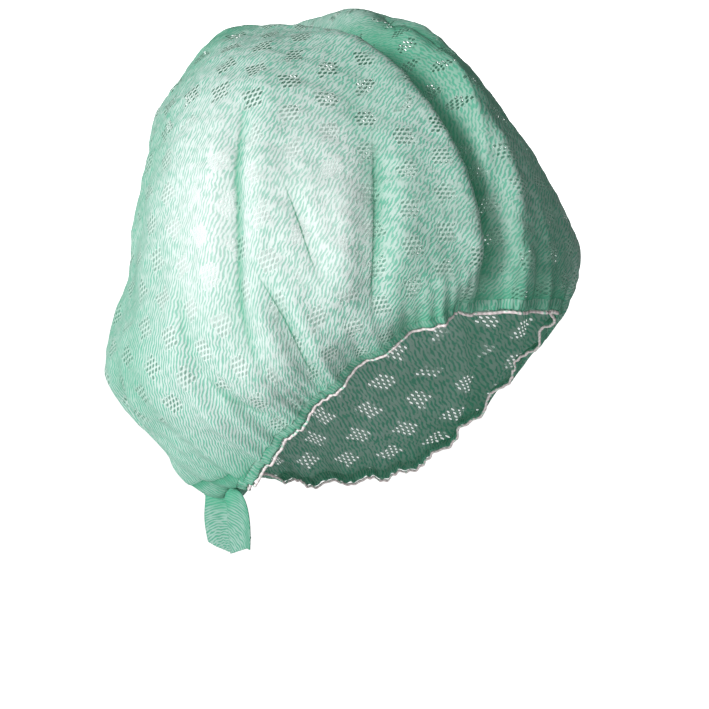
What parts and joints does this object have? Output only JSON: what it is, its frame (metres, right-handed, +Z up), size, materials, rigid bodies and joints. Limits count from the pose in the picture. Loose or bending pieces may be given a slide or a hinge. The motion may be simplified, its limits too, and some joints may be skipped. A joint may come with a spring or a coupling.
{
  "type": "scrub cap",
  "caption": "Disposable mint green nonwoven scrub cap with two full lobes, a deep valley between them, an elastic hem and a pleated nape tail.",
  "frame": {"origin": "middle of the head opening, halfway in height between the forehead and the nape edge of the crown, where a head carries the cap", "axes": "+Z up, the wearer faces -Y, the wearer's right side is at -X"},
  "size_m": [0.219, 0.2213, 0.2631],
  "materials": {
    "cloth": "matte thin nonwoven with wavy stripes and small openwork",
    "elastic": "matte covered elastic"
  },
  "bodies": {
    "root": {"crown": "cloth", "hem": "cloth", "elastic": "elastic", "nape_tail": "cloth"}
  },
  "joints": []
}
